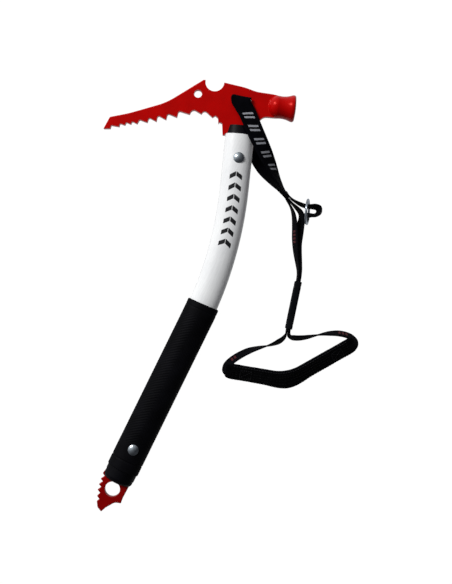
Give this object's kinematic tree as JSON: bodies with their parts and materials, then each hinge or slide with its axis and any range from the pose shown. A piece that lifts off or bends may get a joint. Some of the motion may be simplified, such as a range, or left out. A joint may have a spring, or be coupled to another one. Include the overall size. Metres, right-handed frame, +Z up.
{
  "type": "ice axe",
  "caption": "Technical ice axe: bent tubular shaft with rubber grip and end spike, toothed pick with hammer head, and a padded webbing wrist leash sewn through the head.",
  "frame": {"origin": "middle of the tool's footprint without its leash, at the height of the surface it lies on", "axes": "+Z up out of the surface, +Y along the straight grip towards the head, +X towards the hammer side"},
  "size_m": [0.3692, 0.52, 0.03],
  "materials": {
    "red_steel": "gloss",
    "dark_red_steel": "satin",
    "white_tube": "gloss",
    "steel": "polished",
    "black_plastic": "matte",
    "grip_rubber": "matte",
    "sleeve_rubber": "matte",
    "webbing": "woven",
    "padded_fabric": "woven"
  },
  "bodies": {
    "axe": {"head": "red_steel", "head_insert": "black_plastic", "shaft_tube": "white_tube", "upper_rivet": "steel", "grip": "grip_rubber", "end_plug": "black_plastic", "spike": "dark_red_steel", "lower_rivet": "steel"},
    "leash": {"head_sling": "webbing", "ring_loop": "webbing", "wrist_strap_right": "webbing", "wrist_strap_left": "webbing", "wrist_pad": "padded_fabric"},
    "ring": {"ring": "steel"},
    "sleeve": {"sleeve": "sleeve_rubber"}
  },
  "joints": [
    {"name": "leash_swing", "type": "hinge", "parent": "axe", "child": "leash", "pos_m": [0.02172, 0.22784, 0.015], "axis": [0, 0, 1], "range_deg": [-4, 8]},
    {"name": "ring_swing", "type": "hinge", "parent": "leash", "child": "ring", "pos_m": [0.1445, 0.1482, 0.0147], "axis": [0, 0, 1], "range_deg": [-2, 9]},
    {"name": "sleeve_slide", "type": "slide", "parent": "leash", "child": "sleeve", "axis": [0.2487, -0.9686, 0], "range_m": [-0.001, 0.003]}
  ]
}
